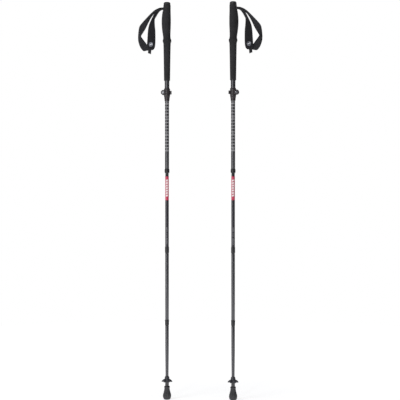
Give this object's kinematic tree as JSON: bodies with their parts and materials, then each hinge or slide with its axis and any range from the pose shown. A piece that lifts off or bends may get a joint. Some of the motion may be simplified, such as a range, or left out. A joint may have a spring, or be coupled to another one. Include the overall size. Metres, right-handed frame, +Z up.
{
  "type": "climbing stick set",
  "caption": "Folding, telescoping walking poles with foam grips, padded wrist straps, lever clamps, star baskets and rubber tips.",
  "frame": {"origin": "midway between the two hands: between the poles' axes, at the height of the grips' palm swell, 1204 mm above the soles of the rubber tips", "axes": "+X from the left pole to the right pole, +Y to the back of the clamps, +Z up along the poles"},
  "size_m": [0.3998, 0.0304, 1.275],
  "materials": {
    "foam": "closed-cell EVA foam, matt, fine grain",
    "hard_plastic": "moulded nylon, satin",
    "webbing": "woven polyester webbing",
    "pad_fabric": "padded knit over foam",
    "anodised_tube": "dark grey satin anodised",
    "printed_tube": "dark anodised with a red printed band",
    "bright_metal": "brushed",
    "spring_steel": "polished strip",
    "cord_coating": "coated cord",
    "carbide": "ground carbide",
    "tip_rubber": "moulded rubber"
  },
  "bodies": {
    "handles": {"left_grip": "foam", "left_head_cap": "hard_plastic", "left_strap_pin": "bright_metal", "left_upper_tube": "anodised_tube", "left_clamp_body": "hard_plastic", "left_clamp_barrel": "bright_metal", "right_grip": "foam", "right_head_cap": "hard_plastic", "right_strap_pin": "bright_metal", "right_upper_tube": "anodised_tube", "right_clamp_body": "hard_plastic", "right_clamp_barrel": "bright_metal"},
    "left_lever": {"left_clamp_lever": "hard_plastic"},
    "left_screw": {"left_clamp_screw": "bright_metal"},
    "left_strap": {"left_strap_webbing": "webbing", "left_strap_pad": "pad_fabric", "left_strap_badge": "bright_metal"},
    "left_slide": {"left_slide_tube": "anodised_tube", "left_joint_collar_1": "hard_plastic"},
    "left_link_1": {"left_cord_1": "cord_coating"},
    "left_mid": {"left_spigot_1": "hard_plastic", "left_mid_tube": "printed_tube", "left_joint_collar_2": "hard_plastic", "left_lock_spring": "spring_steel"},
    "left_button": {"left_lock_button": "bright_metal"},
    "left_link_2": {"left_cord_2": "cord_coating"},
    "left_lower": {"left_spigot_2": "hard_plastic", "left_lower_tube": "anodised_tube", "left_joint_collar_3": "hard_plastic"},
    "left_link_3": {"left_cord_3": "cord_coating"},
    "left_tip": {"left_spigot_3": "hard_plastic", "left_tip_tube": "anodised_tube", "left_ferrule": "hard_plastic", "left_carbide_tip": "carbide"},
    "left_basket": {"left_basket": "hard_plastic"},
    "left_rubber": {"left_rubber_tip": "tip_rubber"},
    "right_lever": {"right_clamp_lever": "hard_plastic"},
    "right_screw": {"right_clamp_screw": "bright_metal"},
    "right_strap": {"right_strap_webbing": "webbing", "right_strap_pad": "pad_fabric", "right_strap_badge": "bright_metal"},
    "right_slide": {"right_slide_tube": "anodised_tube", "right_joint_collar_1": "hard_plastic"},
    "right_link_1": {"right_cord_1": "cord_coating"},
    "right_mid": {"right_spigot_1": "hard_plastic", "right_mid_tube": "printed_tube", "right_joint_collar_2": "hard_plastic", "right_lock_spring": "spring_steel"},
    "right_button": {"right_lock_button": "bright_metal"},
    "right_link_2": {"right_cord_2": "cord_coating"},
    "right_lower": {"right_spigot_2": "hard_plastic", "right_lower_tube": "anodised_tube", "right_joint_collar_3": "hard_plastic"},
    "right_link_3": {"right_cord_3": "cord_coating"},
    "right_tip": {"right_spigot_3": "hard_plastic", "right_tip_tube": "anodised_tube", "right_ferrule": "hard_plastic", "right_carbide_tip": "carbide"},
    "right_basket": {"right_basket": "hard_plastic"},
    "right_rubber": {"right_rubber_tip": "tip_rubber"}
  },
  "joints": [
    {"name": "left_telescope", "type": "slide", "parent": "handles", "child": "left_slide", "axis": [0, 0, -1], "range_m": [-0.175, 0.025]},
    {"name": "left_lever_turn", "type": "hinge", "parent": "handles", "child": "left_lever", "pos_m": [-0.1175, 0.0092, -0.2195], "axis": [0, 0, 1], "range_deg": [0, 150]},
    {"name": "left_screw_turn", "type": "hinge", "parent": "handles", "child": "left_screw", "pos_m": [-0.1175, 0, -0.2195], "axis": [0, 1, 0], "range_deg": [-180, 180]},
    {"name": "left_strap_swing", "type": "hinge", "parent": "handles", "child": "left_strap", "pos_m": [-0.1216, 0, 0.05], "axis": [0, 1, 0], "range_deg": [-10, 95]},
    {"name": "left_fold_1_pull", "type": "slide", "parent": "left_slide", "child": "left_link_1", "axis": [0, 0, -1], "range_m": [0, 0.036], "stiffness_N_per_m": 400, "springref_m": -0.05},
    {"name": "left_fold_1", "type": "hinge", "parent": "left_link_1", "child": "left_mid", "pos_m": [-0.106, -0.012, -0.4774], "axis": [-1, 0, 0], "range_deg": [0, 179.5]},
    {"name": "left_fold_2_pull", "type": "slide", "parent": "left_mid", "child": "left_link_2", "axis": [0, 0, -1], "range_m": [0, 0.036], "stiffness_N_per_m": 400, "springref_m": -0.05},
    {"name": "left_fold_2", "type": "hinge", "parent": "left_link_2", "child": "left_lower", "pos_m": [-0.106, 0.012, -0.7346], "axis": [1, 0, 0], "range_deg": [0, 179.5]},
    {"name": "left_fold_3_pull", "type": "slide", "parent": "left_lower", "child": "left_link_3", "axis": [0, 0, -1], "range_m": [0, 0.036], "stiffness_N_per_m": 400, "springref_m": -0.05},
    {"name": "left_fold_3", "type": "hinge", "parent": "left_link_3", "child": "left_tip", "pos_m": [-0.106, -0.012, -0.9667], "axis": [-1, 0, 0], "range_deg": [0, 179.5]},
    {"name": "left_button_press", "type": "slide", "parent": "left_mid", "child": "left_button", "axis": [0, -1, 0], "range_m": [0, 0.0015], "stiffness_N_per_m": 400, "springref_m": -0.001, "deforming": ["left_lock_spring"]},
    {"name": "left_basket_twist", "type": "hinge", "parent": "left_tip", "child": "left_basket", "pos_m": [-0.106, 0, -1.143], "axis": [0, 0, 1], "range_deg": [0, 90]},
    {"name": "left_rubber_pull", "type": "slide", "parent": "left_tip", "child": "left_rubber", "axis": [0, 0, -1], "range_m": [0, 0.055]},
    {"name": "right_telescope", "type": "slide", "parent": "handles", "child": "right_slide", "axis": [0, 0, -1], "range_m": [-0.175, 0.025]},
    {"name": "right_lever_turn", "type": "hinge", "parent": "handles", "child": "right_lever", "pos_m": [0.1175, 0.0092, -0.2195], "axis": [0, 0, -1], "range_deg": [0, 150]},
    {"name": "right_screw_turn", "type": "hinge", "parent": "handles", "child": "right_screw", "pos_m": [0.1175, 0, -0.2195], "axis": [0, 1, 0], "range_deg": [-180, 180]},
    {"name": "right_strap_swing", "type": "hinge", "parent": "handles", "child": "right_strap", "pos_m": [0.1216, 0, 0.05], "axis": [0, -1, 0], "range_deg": [-10, 95]},
    {"name": "right_fold_1_pull", "type": "slide", "parent": "right_slide", "child": "right_link_1", "axis": [0, 0, -1], "range_m": [0, 0.036], "stiffness_N_per_m": 400, "springref_m": -0.05},
    {"name": "right_fold_1", "type": "hinge", "parent": "right_link_1", "child": "right_mid", "pos_m": [0.106, -0.012, -0.4774], "axis": [-1, 0, 0], "range_deg": [0, 179.5]},
    {"name": "right_fold_2_pull", "type": "slide", "parent": "right_mid", "child": "right_link_2", "axis": [0, 0, -1], "range_m": [0, 0.036], "stiffness_N_per_m": 400, "springref_m": -0.05},
    {"name": "right_fold_2", "type": "hinge", "parent": "right_link_2", "child": "right_lower", "pos_m": [0.106, 0.012, -0.7346], "axis": [1, 0, 0], "range_deg": [0, 179.5]},
    {"name": "right_fold_3_pull", "type": "slide", "parent": "right_lower", "child": "right_link_3", "axis": [0, 0, -1], "range_m": [0, 0.036], "stiffness_N_per_m": 400, "springref_m": -0.05},
    {"name": "right_fold_3", "type": "hinge", "parent": "right_link_3", "child": "right_tip", "pos_m": [0.106, -0.012, -0.9667], "axis": [-1, 0, 0], "range_deg": [0, 179.5]},
    {"name": "right_button_press", "type": "slide", "parent": "right_mid", "child": "right_button", "axis": [0, -1, 0], "range_m": [0, 0.0015], "stiffness_N_per_m": 400, "springref_m": -0.001, "deforming": ["right_lock_spring"]},
    {"name": "right_basket_twist", "type": "hinge", "parent": "right_tip", "child": "right_basket", "pos_m": [0.106, 0, -1.143], "axis": [0, 0, 1], "range_deg": [0, 90]},
    {"name": "right_rubber_pull", "type": "slide", "parent": "right_tip", "child": "right_rubber", "axis": [0, 0, -1], "range_m": [0, 0.055]}
  ]
}
